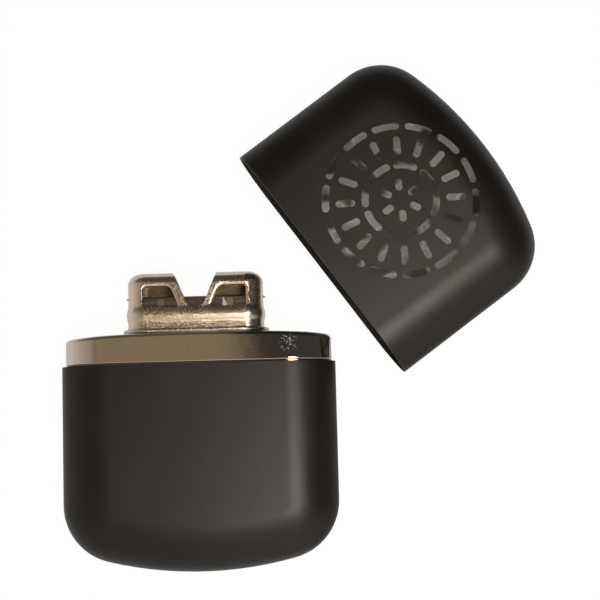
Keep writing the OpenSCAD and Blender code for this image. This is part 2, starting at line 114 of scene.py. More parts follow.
class WarmerFinishes(bpy.types.PropertyGroup):
    enamel: tint("Enamel", "Warm near-black enamel", (0.0056, 0.0047, 0.0039))
    chrome: tint("Chrome", "Bright plate of the collar", (0.72, 0.66, 0.58))
    nickel: tint("Nickel", "Satin nickel of the burner cover", (0.78, 0.67, 0.555))
    burnt: tint("Burnt nickel", "Heat-browned nickel of the cage", (0.2, 0.15, 0.095))
    brass: tint("Plated brass", "Thin plate of the neck", (0.62, 0.56, 0.48))
    steel: tint("Steel", "Rolled steel of the springs", (0.5, 0.5, 0.5))
    gauze: tint("Gauze", "Woven wire under the mat", (0.36, 0.33, 0.28))
    fibre: tint("Fibre", "Grey glass fibre of the mat", (0.085, 0.068, 0.055))
    felt: tint("Felt", "Off-white felt of the wick", (0.66, 0.6, 0.5))
    cotton: tint("Cotton", "White cotton of the filling", (0.82, 0.79, 0.72))
    plate_inside: tint("Inside plate", "Tinned inside of the casings", (0.66, 0.61, 0.55))
    cap_inside: tint("Inside of the cap", "Bright tinned inside of the cap", (1.0, 0.94, 0.85))
    browned: tint("Browned inside", "Heat-browned inside of the burner cover", (0.2, 0.145, 0.095))


# ---- Modelling tools -------------------------------------------------------------------


def height_mm(cad_node):
    """Height of a node's top above the tank's closed end, in millimetres."""
    return (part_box(cad_node)[1][1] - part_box("tank_shell")[0][1]) / MM


def upright_mm(y):
    """Height above the tank's closed end, in millimetres, of a place along the laid tank."""
    return y / MM + sizes().tank_height / 2


def leave_edit():
    if bpy.context.object and bpy.context.object.mode != "OBJECT":
        bpy.ops.object.mode_set(mode="OBJECT")


def take(piece):
    """Makes one piece the only one selected."""
    leave_edit()
    bpy.ops.object.select_all(action="DESELECT")
    piece.select_set(True)
    bpy.context.view_layer.objects.active = piece


def add(name, primitive, **settings):
    """Adds a primitive with nothing else selected, with its place in its mesh."""
    leave_edit()
    bpy.ops.object.select_all(action="DESELECT")
    primitive(**settings)
    piece = bpy.context.active_object
    piece.name = piece.data.name = name
    bpy.ops.object.transform_apply()
    return piece


def edit(piece, select="DESELECT"):
    take(piece)
    bpy.ops.object.mode_set(mode="EDIT")
    bpy.ops.mesh.select_all(action=select)


def pick(kind, test):
    """Selects the vertices, edges or faces that pass a test, and nothing else."""
    bpy.ops.mesh.select_mode(type=kind)
    bpy.ops.mesh.select_all(action="DESELECT")
    data = bpy.context.edit_object.data
    mesh = bmesh.from_edit_mesh(data)
    mesh.normal_update()
    for part in {"VERT": mesh.verts, "EDGE": mesh.edges, "FACE": mesh.faces}[kind]:
        if test(part):
            part.select_set(True)
    mesh.select_flush_mode()
    bmesh.update_edit_mesh(data)


def pick_all():
    bpy.ops.mesh.select_all(action="SELECT")


def move(x=0.0, y=0.0, z=0.0):
    bpy.ops.transform.translate(value=(x, y, z))


def extrude(x=0.0, y=0.0, z=0.0):
    bpy.ops.mesh.extrude_region_move(TRANSFORM_OT_translate={"value": (x, y, z)})


def stretch(x, y, centre=(0, 0, 0)):
    """Scales a whole mesh across and in depth, about a point."""
    pick_all()
    bpy.ops.transform.resize(value=(x, y, 1), center_override=centre)


def swing(angle, centre):
    """Turns what is picked about a point, in the plane of the front."""
    bpy.ops.transform.rotate(value=angle, orient_axis="Y", center_override=centre)


def pull_apart(distance, axis=0):
    """Moves the two halves of a mesh away from its middle."""
    for side in (-1, 1):
        pick("VERT", lambda v: v.co[axis] * side > 0)
        move(**{"xyz"[axis]: side * distance})


def set_corners(front, corners):
    """Moves the corners of an upright plane, given as (x, z), by way of a place where they are out of reach."""
    away = 50
    for (x, z), (to_x, to_z) in corners.items():
        pick("VERT", lambda v: (v.co - Vector((x, front, z))).length < 0.01)
        move(to_x - x, -away, to_z - z)
    pick_all()
    move(y=away)


def tidy_mesh():
    """Merges doubles and turns the faces outwards."""
    pick_all()
    bpy.ops.mesh.remove_doubles(threshold=0.002)
    bpy.ops.mesh.normals_make_consistent(inside=False)


def apply(piece, kind, **settings):
    """Adds a modifier and applies it."""
    take(piece)
    modifier = piece.modifiers.new(kind.title(), kind)
    for key, value in settings.items():
        setattr(modifier, key, value)
    bpy.ops.object.modifier_apply(modifier=modifier.name)


def cut_away(piece, tool):
    """Cuts a tool out of a piece and throws the tool away."""
    apply(piece, "BOOLEAN", operation="DIFFERENCE", solver="EXACT", object=tool)
    bpy.data.objects.remove(tool)


def join(name, parts):
    """Joins several meshes into the first."""
    leave_edit()
    bpy.ops.object.select_all(action="DESELECT")
    for part in parts:
        part.select_set(True)
    bpy.context.view_layer.objects.active = parts[0]
    bpy.ops.object.join()
    parts[0].name = parts[0].data.name = name
    return parts[0]


def duplicate(piece):
    take(piece)
    bpy.ops.object.duplicate(linked=False)
    return bpy.context.active_object


def block(name, place, scale):
    return add(name, bpy.ops.mesh.primitive_cube_add, size=1, location=place, scale=scale)


def at(z):
    """Test for an edge that lies at a height."""
    return lambda e: all(abs(v.co.z - z) < 0.004 for v in e.verts)


def arc(centre, across, up, start, end, steps):
    """Points of a section along an elliptical arc, in degrees."""
    return [
        (centre[0] + across * math.cos(math.radians(a)), centre[1] + up * math.sin(math.radians(a)))
        for a in (start + (end - start) * i / steps for i in range(steps + 1))
    ]


def turned(name, section, pull_x=0.0, pull_y=0.0, closed=False, steps=TURN_STEPS):
    """Turns a half section of (radius, height) points, then pulls its quarters apart."""
    piece = add(name, bpy.ops.mesh.primitive_plane_add, size=1)
    edit(piece, "SELECT")
    bpy.ops.mesh.merge(type="CENTER")
    lean = math.pi / steps
    points = [Vector((r * math.cos(lean), r * math.sin(lean), z)) for r, z in section]
    if closed:
        points.append(points[0])
    pick_all()
    move(*points[0])
    for here, there in zip(points, points[1:]):
        bpy.ops.mesh.extrude_vertices_move(TRANSFORM_OT_translate={"value": there - here})
    pick_all()
    bpy.ops.mesh.spin(steps=steps, angle=math.tau, center=(0, 0, 0), axis=(0, 0, 1))
    tidy_mesh()
    for axis, pull in enumerate((pull_x, pull_y)):
        if pull:
            pull_apart(pull, axis)
    return piece


def fill_out(depth):
    """Makes a solid of a flat outline in the plane of the front."""
    pick_all()
    bpy.ops.mesh.edge_face_add()
    pick_all()
    extrude(y=depth)
    tidy_mesh()


def close_level(z):
    """Closes the open end of a turned piece at a height with one flat face."""
    pick("EDGE", lambda e: e.is_boundary and at(z)(e))
    bpy.ops.mesh.edge_face_add()


def everywhere(_):
    return True


def soften(width, where=everywhere, angle=60):
    """Rounds the edges at a place whose faces meet at more than an angle."""
    limit = math.radians(angle)
    pick("EDGE", lambda e: len(e.link_faces) == 2 and e.calc_face_angle(0) > limit and where(e))
    bpy.ops.mesh.bevel(offset=width, offset_type="OFFSET", segments=2, affect="EDGES", clamp_overlap=True)


def sizes():
    """The sizes in millimetres and degrees, under their own names."""
    group = bpy.context.scene.warmer_sizes
    made = {key: getattr(group, key) / MM for key in WarmerSizes.__annotations__}
    return SimpleNamespace(**{**made, "cap_turn": math.degrees(group.cap_turn)})


def tank_place():
    """Lays an upright tank piece on its back, in metres."""
    s = sizes()
    return (
        Matrix.Translation(Vector((0, -s.tank_height / 2, s.case_depth / 2)) * MM)
        @ Matrix.Rotation(math.radians(-90), 4, "X")
        @ Matrix.Scale(MM, 4)
    )


def neck_place():
    """Lays a piece of the neck or the burner head down about the neck's own middle."""
    low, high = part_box("filler_neck")
    return Matrix.Translation(((low[0] + high[0]) / 2, 0, 0)) @ tank_place()


def cap_place():
    """Lays the upright cap on its back beside the tank, in metres."""
    s = sizes()
    rim = Vector((s.cap_right, s.tank_height / 2 + s.cap_beyond, s.case_depth / 2)) * MM
    return (
        Matrix.Translation(rim)
        @ Matrix.Rotation(math.radians(-s.cap_turn), 4, "Z")
        @ Matrix.Rotation(math.radians(-90), 4, "X")
        @ Matrix.Scale(MM, 4)
    )


def lay(piece, place):
    """Moves a piece by a matrix, in its mesh."""
    take(piece)
    piece.matrix_world = place
    bpy.ops.object.transform_apply()


def finish(piece, *makers):
    """Gives a piece its materials, in the order of its material slots."""
    for maker in makers:
        piece.data.materials.append(maker())


def smooth_down(piece, place, flat_faces=True):
    """Lays a piece down where the frame has it, and shades it smooth."""
    lay(piece, place)
    bpy.ops.object.shade_smooth_by_angle(angle=SMOOTH_ANGLE)
    if flat_faces:
        apply(piece, "WEIGHTED_NORMAL", keep_sharp=True, weight=100)


def set_down(piece, place, body, cad_node, flat_faces=True):
    """Lays a piece down where the frame has it, and lets it stand for its node."""
    smooth_down(piece, place, flat_faces)
    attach(piece, body)
    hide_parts(cad_node)


# ---- Finishes --------------------------------------------------------------------------


def new_group(name, inputs, outputs):
    """A shader group that takes a place and numbers, and puts out numbers, with its inputs and its end node."""
    group = bpy.data.node_groups.new(name, "ShaderNodeTree")
    group.interface.new_socket("Place", in_out="INPUT", socket_type="NodeSocketVector")
    for label, value in inputs.items():
        group.interface.new_socket(label, in_out="INPUT", socket_type="NodeSocketFloat").default_value = value
    for label in outputs:
        group.interface.new_socket(label, in_out="OUTPUT", socket_type="NodeSocketFloat")
    return group, group.nodes.new("NodeGroupInput").outputs, group.nodes.new("NodeGroupOutput")


def fill(tree, made, feeds):
    """Links or fills a node's inputs."""
    for key, value in feeds.items():
        if isinstance(value, bpy.types.NodeSocket):
            tree.links.new(value, made.inputs[key])
        else:
            made.inputs[key].default_value = value


def node(tree, kind, feeds=None, **settings):
    """Adds a node and sets it up."""
    made = tree.nodes.new("ShaderNode" + kind)
    for key, value in settings.items():
        setattr(made, key, value)
    fill(tree, made, feeds or {})
    return made


def maths(tree, operation, *values):
    return node(tree, "Math", dict(enumerate(values)), operation=operation).outputs[0]


def vectors(tree, operation, *values):
    return node(tree, "VectorMath", dict(enumerate(values)), operation=operation).outputs


def noise(tree, place, scale, detail, rough, distortion=0.0):
    feeds = {"Vector": place, "Scale": scale, "Detail": detail, "Roughness": rough, "Distortion": distortion}
    return node(tree, "TexNoise", feeds).outputs[0]


def bump(tree, height, distance, **more):
    """A normal from a height, in metres."""
    return node(tree, "Bump", {"Height": height, "Strength": 1.0, "Distance": distance, **more}).outputs[0]


def spread(tree, value, low, high, to_low=0.0, to_high=1.0):
    """Maps a value from one range to another, held at both ends."""
    feeds = {"Value": value, "From Min": low, "From Max": high, "To Min": to_low, "To Max": to_high}
    return node(tree, "MapRange", feeds).outputs["Result"]


def blend(tree, factor, first, second, mode="MIX"):
    """Mixes two colours."""
    first, second = ((*c, 1) if isinstance(c, tuple) and len(c) == 3 else c for c in (first, second))
    return node(tree, "Mix", {0: factor, 6: first, 7: second}, data_type="RGBA", blend_type=mode).outputs[2]


def tones(tree, value, low, high, base, down, up):
    """A colour that goes from darker to lighter, by two shares, as a value goes from low to high."""
    darker, lighter = (tuple(min(1, c * share) for c in base) for share in (1 - down, 1 + up))
    return blend(tree, spread(tree, value, low, high), darker, lighter)


def grain_group():
    """Fine grain over a broad drift: a value round 0.5 and a height."""
    if "fine_grain" in bpy.data.node_groups:
        return bpy.data.node_groups["fine_grain"]
    group, given, out = new_group(
        "fine_grain",
        {"Grain per metre": 4000.0, "Drift per metre": 60.0, "Drift share": 0.4, "Roughness": 0.6},
        ("Value", "Grain", "Drift"),
    )
    fine = noise(group, given["Place"], given["Grain per metre"], 3.0, given["Roughness"])
    broad = noise(group, given["Place"], given["Drift per metre"], 2.0, 0.5)
    mixed = node(group, "Mix", {"Factor": given["Drift share"], "A": fine, "B": broad}).outputs[0]
    fill(group, out, {"Value": mixed, "Grain": fine, "Drift": broad})
    return group


def wear_group():
    """Wear along convex edges, broken up by noise."""
    if "edge_wear" in bpy.data.node_groups:
        return bpy.data.node_groups["edge_wear"]
    group, given, out = new_group(
        "edge_wear", {"Reach": 0.0003, "Break per metre": 500.0, "Least": 0.5, "Most": 0.6}, ("Mask",)
    )
    rounded = node(group, "Bevel", {"Radius": given["Reach"]}, samples=4).outputs[0]
    flat = node(group, "NewGeometry").outputs["Normal"]
    edge = spread(group, vectors(group, "DOT_PRODUCT", rounded, flat)["Value"], 0.985, 0.9)
    patches = noise(group, given["Place"], given["Break per metre"], 4.0, 0.65)
    broken = spread(group, patches, given["Least"], given["Most"])
    fill(group, out, {"Mask": maths(group, "MULTIPLY", edge, broken)})
    return group


def speck_group():
    """Scattered small round specks, such as dust or pits."""
    if "specks" in bpy.data.node_groups:
        return bpy.data.node_groups["specks"]
    group, given, out = new_group("specks", {"Cells per metre": 900.0, "Size": 0.12, "Share": 0.2}, ("Mask",))
    cells = node(group, "TexVoronoi", {"Vector": given["Place"], "Scale": given["Cells per metre"]}).outputs
    dot = maths(group, "LESS_THAN", cells["Distance"], given["Size"])
    chance = node(group, "SeparateColor", {0: cells["Color"]}).outputs[0]
    fill(group, out, {"Mask": maths(group, "MULTIPLY", dot, maths(group, "LESS_THAN", chance, given["Share"]))})
    return group


def grain_of(tree, place, per_metre, drift_per_metre, drift_share):
    feeds = {"Place": place, "Grain per metre": per_metre, "Drift per metre": drift_per_metre,
             "Drift share": drift_share}
    return node(tree, "Group", feeds, node_tree=grain_group()).outputs


def specks_of(tree, place, per_metre, size, share):
    feeds = {"Place": place, "Cells per metre": per_metre, "Size": size, "Share": share}
    return node(tree, "Group", feeds, node_tree=speck_group()).outputs["Mask"]


def start_finish(name):
    """A new material's nodes, its Principled shader and its object coordinates."""
    material = bpy.data.materials.new(name)
    material.use_nodes = True
    tree = material.node_tree
    shader = next(n for n in tree.nodes if n.type == "BSDF_PRINCIPLED")
    return tree, shader, node(tree, "TexCoord").outputs["Object"]


def colour(key):
    return tuple(getattr(bpy.context.scene.warmer_finishes, key))


def made_once(name, maker, *look):
    """A function that makes a material the first time it is called, and gives it."""
    name = "finish_" + name

    def get():
        if name not in bpy.data.materials:
            maker(name, *look)
        return bpy.data.materials[name]

    return get


def once(maker):
    return made_once(maker.__name__, maker)


@once
def black_enamel(name):
    """Warm near-black enamel with a fine grain and a little dust, worn to metal along the rims."""
    tree, shader, place = start_finish(name)
    grain = grain_of(tree, place, 5200.0, 75.0, 0.45)
    shade = tones(tree, grain["Value"], 0.35, 0.65, colour("enamel"), 0.25, 0.35)
    dust = specks_of(tree, place, 420.0, 0.06, 0.2)
    shade = blend(tree, maths(tree, "MULTIPLY", dust, 0.35), shade, (0.12, 0.11, 0.1))
    feeds = {"Place": place, "Reach": 0.0002, "Break per metre": 420.0, "Least": 0.6, "Most": 0.67}
    worn = node(tree, "Group", feeds, node_tree=wear_group()).outputs["Mask"]
    fill(tree, shader, {
        "Base Color": blend(tree, worn, shade, (0.45, 0.4, 0.34)),
        "Metallic": maths(tree, "MULTIPLY", worn, 0.9),
        "Roughness": spread(tree, grain["Value"], 0.3, 0.7, 0.35, 0.43),
        "Normal": bump(tree, grain["Grain"], 0.00003, Strength=0.22),
        "Specular IOR Level": 0.36,
    })


def plated(name, key, rough, grain_scale, grain_depth, drift_depth=0.0, tone=0.06, spots=None):
    """Plated or bare metal: grain and drift in tone, roughness and height, with spots or pits."""
    tree, shader, place = start_finish(name)
    grain = grain_of(tree, place, grain_scale, 140.0, 0.35)
    shade = tones(tree, grain["Value"], 0.3, 0.7, colour(key), tone, tone)
    roughness = spread(tree, grain["Value"], 0.25, 0.75, *rough)
    if spots:
        pits = specks_of(tree, place, *spots)
        shade = blend(tree, maths(tree, "MULTIPLY", pits, 0.5), shade, (0.2, 0.17, 0.14))
        roughness = maths(tree, "ADD", roughness, maths(tree, "MULTIPLY", pits, 0.25))
    normal = bump(tree, grain["Grain"], grain_depth)
    if drift_depth:
        normal = bump(tree, grain["Drift"], drift_depth, Normal=normal)
    fill(tree, shader, {"Base Color": shade, "Metallic": 1.0, "Roughness": roughness, "Normal": normal})
    return tree, shader, place


@once
def chrome_plate(name):
    """Bright chrome, a little wavy, with a few pits, and a patch of pale specks near the right end that are
    painted glints.
    """
    pits, patch = (1500.0, 0.14, 0.05), (0.0225, 0.0298, 0.0155)
    tree, shader, place = plated(name, "chrome", (0.03, 0.06), 2600.0, 0.0000012, 0.00001, 0.04, pits)
    # Painted glints: pale specks without metal, in a small patch near the right end, stand in for the key lamp's
    # glints off pitted plate.
    near = spread(tree, vectors(tree, "DISTANCE", place, patch)["Value"], 0.0028, 0.0014)
    painted_glints = maths(tree, "MULTIPLY", near, specks_of(tree, place, 3000.0, 0.27, 0.5))
    plate = shader.inputs["Base Color"].links[0].from_socket
    fill(tree, shader, {
        "Base Color": blend(tree, painted_glints, plate, (0.8, 0.77, 0.73)),
        "Metallic": maths(tree, "SUBTRACT", 1.0, painted_glints),
    })


@once
def cap_inside(name):
    """Bright wavy inside of the cap, black near the rim, and darkened in soft patches deeper down as painted
    shade.
    """
    tree, shader, place = plated(name, "cap_inside", (0.1, 0.2), 900.0, 0.000003, 0.00025, 0.12)
    layout = cap_place()
    rim, axis = layout.translation, (layout.to_3x3() @ Vector((0, 0, 1))).normalized()
    depth = maths(tree, "SUBTRACT", vectors(tree, "DOT_PRODUCT", place, tuple(axis))["Value"], rim.dot(axis))
    # Black down to a ragged line a few millimetres inside the rim.
    ragged = spread(tree, noise(tree, place, 900.0, 5.0, 0.7), 0.3, 0.7, -0.0015, 0.0015)
    bare = spread(tree, maths(tree, "ADD", depth, ragged), 0.0025, 0.0055)
    # Painted shade: deeper down, soft patches darken the bright metal towards black, for the dark that the inside
    # mirrors.
    patches = spread(tree, noise(tree, place, 150.0, 1.0, 0.4), 0.43, 0.6, 0.06, 1.0)
    bare = maths(tree, "MULTIPLY", bare, patches)
    metal, rough = (shader.inputs[socket].links[0].from_socket for socket in ("Base Color", "Roughness"))
    fill(tree, shader, {
        "Base Color": blend(tree, bare, colour("enamel"), metal),
        "Metallic": maths(tree, "MULTIPLY", bare, 0.6),
        "Roughness": spread(tree, bare, 0.0, 1.0, 0.5, rough),
    })


def fibrous(name, key, scale, depth, tone):
    """Matted fibres: crossing streaks of noise in tone and height."""
    tree, shader, place = start_finish(name)
    along, across, upwards = (
        noise(tree, vectors(tree, "MULTIPLY", place, squeeze)[0], scale, 4.0, 0.7, 1.2)
        for squeeze in ((1, 0.25, 1), (0.25, 1, 1), (1, 1, 0.3))
    )
    fibres = maths(tree, "MAXIMUM", maths(tree, "MAXIMUM", along, across), upwards)
    fill(tree, shader, {
        "Base Color": tones(tree, fibres, 0.45, 0.75, colour(key), tone, tone),
        "Roughness": 0.95,
        "Normal": bump(tree, fibres, depth, Strength=0.8),
        "Specular IOR Level": 0.2,
    })


satin_nickel = made_once(
    "satin_nickel", plated, "nickel", (0.18, 0.32), 3300.0, 0.000014, 0.00003, 0.16, (1500.0, 0.16, 0.1)
)
burnt_nickel = made_once("burnt_nickel", plated, "burnt", (0.35, 0.55), 3000.0, 0.00001, 0.00002, 0.3)
browned_inside = made_once("browned_inside", plated, "browned", (0.25, 0.4), 1500.0, 0.00002, 0.00008, 0.5)
plated_brass = made_once(
    "plated_brass", plated, "brass", (0.2, 0.32), 3000.0, 0.000004, 0.00002, 0.1, (1300.0, 0.12, 0.08)
)
plain_steel = made_once("plain_steel", plated, "steel", (0.28, 0.4), 4200.0, 0.000004, 0.0, 0.08)
wire_gauze = made_once("wire_gauze", plated, "gauze", (0.35, 0.5), 4200.0, 0.000004, 0.0, 0.2)
tinned_inside = made_once("tinned_inside", plated, "plate_inside", (0.26, 0.4), 1500.0, 0.00001, 0.00008, 0.1)
catalyst_fibre = made_once("catalyst_fibre", fibrous, "fibre", 1500.0, 0.00012, 0.45)
wick_felt = made_once("wick_felt", fibrous, "felt", 1700.0, 0.00008, 0.12)
cotton = made_once("cotton", fibrous, "cotton", 900.0, 0.0002, 0.1)


# ---- Casings ---------------------------------------------------------------------------

RIM_ROUNDING = 0.18


def casing_skin(name, s, height, corner, crown, inset=0.0):
    """Sweeps the rounded edge round the outline, closed end down, and bridges the flat faces."""
    half_w = s.case_width / 2
    band, depth = s.edge_band - inset, s.case_depth / 2 - inset
    seat = (half_w - s.edge_band, 0, height)
    skin = add(name, bpy.ops.mesh.primitive_circle_add, vertices=4 * EDGE_STEPS, radius=band, location=seat)
    edit(skin)
    pick("VERT", lambda v: v.co.x < seat[0] - 0.01)
    bpy.ops.mesh.delete(type="VERT")
    stretch(1, depth / band, seat)
    side_end = crown - math.sqrt((crown - corner) ** 2 - (half_w - corner) ** 2)
    meet = math.asin((half_w - corner) / (crown - corner))
    extrude(z=side_end - height)
    sweeps = (
        (CORNER_STEPS, math.pi / 2 - meet, (half_w - corner, 0, side_end)),
        (CROWN_STEPS, 2 * meet, (0, 0, crown)),
        (CORNER_STEPS, math.pi / 2 - meet, (corner - half_w, 0, side_end)),
    )
    for steps, angle, centre in sweeps:
        bpy.ops.mesh.spin(steps=steps, angle=angle, center=centre, axis=(0, -1, 0))
    extrude(z=height - side_end)
    for face in (-1, 1):
        pick("EDGE", lambda e: e.is_boundary and all(v.co.y * face > depth - 0.001 for v in e.verts)
             and e.verts[0].co.x * e.verts[1].co.x > 0)
        bpy.ops.mesh.bridge_edge_loops()
    tidy_mesh()
    return skin


def give_wall(piece, wall, inside=True):
    """Gives a skin its wall inwards, with its inner side in the second material."""
    apply(piece, "SOLIDIFY", thickness=wall, offset=-1, use_even_offset=True,
          material_offset=1 if inside else 0, use_rim=True)


class WARMER_OT_tank_casing(bpy.types.Operator):
    """Model the black drawn shell of the tank"""

    bl_idname = "warmer.tank_casing"
    bl_label = "Tank Casing"

    def execute(self, context):
        s = sizes()
        piece = casing_skin("tank_casing", s, s.tank_height, s.tank_corner, s.tank_crown)
        finish(piece, black_enamel, tinned_inside)
        give_wall(piece, s.case_wall)
        edit(piece)
        soften(RIM_ROUNDING, at(s.tank_height))
        set_down(piece, tank_place(), "tank", "tank_shell")
        return {"FINISHED"}


class WARMER_OT_cap_casing(bpy.types.Operator):
    """Model the black drawn cap with its rings of vents"""

    bl_idname = "warmer.cap_casing"
    bl_label = "Cap Casing"

    def execute(self, context):
        s = sizes()
        piece = casing_skin("cap_casing", s, s.cap_height, s.cap_corner, s.cap_crown)
        edit(piece, "SELECT")
        swing(math.pi, (0, 0, s.cap_height / 2))
        finish(piece, black_enamel, cap_inside)
        give_wall(piece, s.case_wall)
        uncut = duplicate(piece)
        smooth_down(uncut, cap_place())
        self.cut_vents(piece, s)
        edit(piece)
        soften(0.22, lambda e: all(abs(v.co.y + s.case_depth / 2) < 0.01 for v in e.verts), angle=50)
        soften(RIM_ROUNDING, at(0.0))
        # The rim's rounding leaves slivers that would bend the shading of the flat faces.
        pick("VERT", lambda v: v.co.z < 0.5)
        bpy.ops.mesh.remove_doubles(threshold=0.03)
        pick("VERT", lambda v: v.co.z > 1)
        bpy.ops.object.vertex_group_assign_new()
        set_down(piece, cap_place(), "cap", "cap_shell")
        # The shell keeps the shading that it had before the vents were cut, but not along its rim.
        apply(piece, "DATA_TRANSFER", object=uncut, use_loop_data=True, data_types_loops={"CUSTOM_NORMAL"},
              loop_mapping="POLYINTERP_NEAREST", use_max_distance=True, max_distance=0.004 * MM,
              vertex_group=piece.vertex_groups[0].name)
        bpy.ops.object.vertex_group_remove(all=True)
        bpy.data.objects.remove(uncut)
        return {"FINISHED"}

    def cut_vents(self, piece, s):
        """Cuts four rings of slots: two that point outwards, by a reach, and two that follow their ring."""
        share = 0.62
        plan = (
            (6, 0.6, 0.0, 0.0),
            (8, 0.0, math.tau / 8 * share, 0.0),
            (16, 1.55, 0.0, 0.5),
            (14, 0.0, math.tau / 14 * share, 0.5),
        )
        centre = Matrix.Translation((0, 0, s.vent_centre))
        for ring, (count, reach, sweep, lead) in enumerate(plan):
            radius = s.first_ring + ring * s.ring_step
            tools = []
            for i in range(count):
                tool = vent_cutter(f"vent_{ring}_{i}", radius, reach, sweep, s.slot_width)
                lay(tool, centre @ Matrix.Rotation((i + lead) * math.tau / count, 4, "Y"))
                tools.append(tool)
            cut_away(piece, join(f"vent_ring_{ring}", tools))


def vent_cutter(name, radius, reach, sweep, width):
    """One vent's cutter at a radius above the rosette's centre: straight outwards, or along its ring."""
    ends, front, deep = 16, -12, 6
    tool = add(name, bpy.ops.mesh.primitive_circle_add, vertices=ends, radius=width / 2,
               rotation=UPRIGHT, location=(0, front, radius))
    edit(tool, "SELECT")
    swing(math.pi / ends, (0, front, radius))
    if sweep:
        pick("EDGE", lambda e: e.verts[0].co.x * e.verts[1].co.x < 0)
        bpy.ops.mesh.delete(type="EDGE")
        for side in (-1, 1):
            pick("VERT", lambda v: v.co.x * side > 0)
            swing(-side * sweep / 2, (0, front, 0))
        pick("VERT", lambda v: len(v.link_edges) == 1 and v.co.x > 0)
        bpy.ops.mesh.spin(steps=8, angle=sweep, center=(0, front, 0), axis=(0, 1, 0))
        pick_all()
        bpy.ops.mesh.remove_doubles(threshold=0.01)
    else:
        for side in (-1, 1):
            pick("VERT", lambda v: (v.co.z - radius) * side > 0)
            move(z=side * reach)
    fill_out(deep)
    return tool


# ---- Collar and neck -------------------------------------------------------------------


class WARMER_OT_collar(bpy.types.Operator):
    """Model the chromed collar with its bowed deck"""

    bl_idname = "warmer.collar"
    bl_label = "Collar"

    def execute(self, context):
        s = sizes()
        flat_half = s.case_width / 2 - s.edge_band
        outer = s.edge_band - s.collar_in
        squeeze = (s.case_depth / 2 - s.collar_in) / outer
        rim, deck, shoulder, lap, wall = s.tank_height, height_mm("tank_top"), 1.1, 5, 0.6
        hole_width, hole_depth = 30.6, 8.4
        foot = (
            (0.3, -lap), (0.3, -0.75), (0.12, -0.5), (-0.12, -0.3), (-0.24, 0), (-0.12, 0.3), (-0.02, 0.55),
            (0, 0.7), (0, 2.5),
        )
        piece = turned("collar", [
            *((outer + out, rim + rise) for out, rise in foot),
            *arc((outer - shoulder, deck - shoulder), shoulder, shoulder, 0, 90, 7), (6.4, deck),
        ])
        stretch(1, squeeze)
        pull_apart(flat_half)
        pick("EDGE", lambda e: abs(e.verts[0].co.x - e.verts[1].co.x) > 2 * flat_half - 0.1)
        bpy.ops.mesh.subdivide(number_cuts=21)
        pick("EDGE", lambda e: e.is_boundary and at(deck)(e) and e.verts[0].co.y * e.verts[1].co.y > 0)
        bpy.ops.mesh.bridge_edge_loops()
        bow_down(rim + 3, s.deck_rise, flat_half + outer)
        tidy_mesh()
        finish(piece, chrome_plate, plated_brass)
        give_wall(piece, wall)
        hole = obround_block("neck_hole", hole_width, hole_depth, deck - 4, deck + 4)
        edit(hole, "SELECT")
        move(x=(neck_place().translation - tank_place().translation).x / MM)
        cut_away(piece, hole)
        edit(piece)
        soften(0.08)
        set_down(piece, tank_place(), "tank", "tank_top")
        return {"FINISHED"}


def bow_down(above, rise, half):
    """Lowers what stands above a height onto the bow of the deck, column by column."""
    radius = (half * half + rise * rise) / (2 * rise)
    mesh = bmesh.from_edit_mesh(bpy.context.edit_object.data)
    columns = sorted({round(abs(v.co.x), 3) for v in mesh.verts if v.co.z > above})
    for x in columns:
        pick("VERT", lambda v: v.co.z > above and abs(abs(v.co.x) - x) < 0.0008)
        move(z=math.sqrt(radius * radius - x * x) - radius)


def obround_block(name, width, depth, low, high):
    """Solid block with half-round ends."""
    block = turned(name, [(depth / 2, low), (depth / 2, high)], pull_x=(width - depth) / 2)
    close_level(low)
    close_level(high)
    tidy_mesh()
    return block


class WARMER_OT_filler_neck(bpy.types.Operator):
    """Model the filler neck with its flange, the mouth plate and the wick"""

    bl_idname = "warmer.filler_neck"
    bl_label = "Filler Neck"

    def execute(self, context):
        s = sizes()
        top, deck = height_mm("filler_neck"), height_mm("tank_top")
        low = upright_mm(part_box("filler_neck")[0][1])
        outer, inner = 4.15, 3.75
        reach = outer + 2.9
        centre = (s.flange_width - 2 * reach) / 2
        section = [
            (inner, low), (outer + 0.9, low), (outer + 1, low + 0.1), (outer + 1, low + 0.4),
            (outer + 0.9, low + 0.5), (outer, low + 0.5), (outer, deck), (reach - 0.3, deck),
            *arc((reach - 0.3, deck + 0.5), 0.3, 0.5, -90, 90, 8),
            (outer + 0.25, deck + 1), (outer, deck + 1.25), (outer, top - 0.15), (outer - 0.1, top),
            (inner + 0.1, top), (inner, top - 0.15),
        ]
        neck = turned("filler_neck_tube", section, pull_x=centre, closed=True)
        finish(neck, plated_brass)
        set_down(neck, neck_place(), "tank", "filler_neck")

        plate_top, plate_half = height_mm("mouth_plate"), inner - 0.05
        plate = obround_block("mouth_grate", 2 * (centre + plate_half), 2 * plate_half, plate_top - 0.4, plate_top)
        slot_width, slot_depth, slot_step = 6.5, 4, 8.4
        for i in (-1, 0, 1):
            hole = obround_block("plate_hole", slot_width, slot_depth, plate_top - 2, plate_top + 2)
            edit(hole, "SELECT")
            move(x=slot_step * i)
            cut_away(plate, hole)
        edit(plate)
        soften(0.1)
        finish(plate, plated_brass)
        set_down(plate, neck_place(), "tank", "mouth_plate")

        wick_low = upright_mm(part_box("wick_felt")[0][1])
        radius, edge, sunk = inner - 0.3, 0.5, 0.45
        section = [*arc((radius - edge, wick_low + edge), edge, edge, -90, 0, 4),
                   *arc((radius - edge, plate_top - (sunk + edge)), edge, edge, 0, 90, 4)]
        wick = turned("felt_wick", section, pull_x=centre, steps=32)
        close_level(wick_low)
        close_level(plate_top - sunk)
        roughen(wick, 0.05, 3)
        finish(wick, wick_felt)
        set_down(wick, neck_place(), "tank", "wick_felt", flat_faces=False)
        return {"FINISHED"}


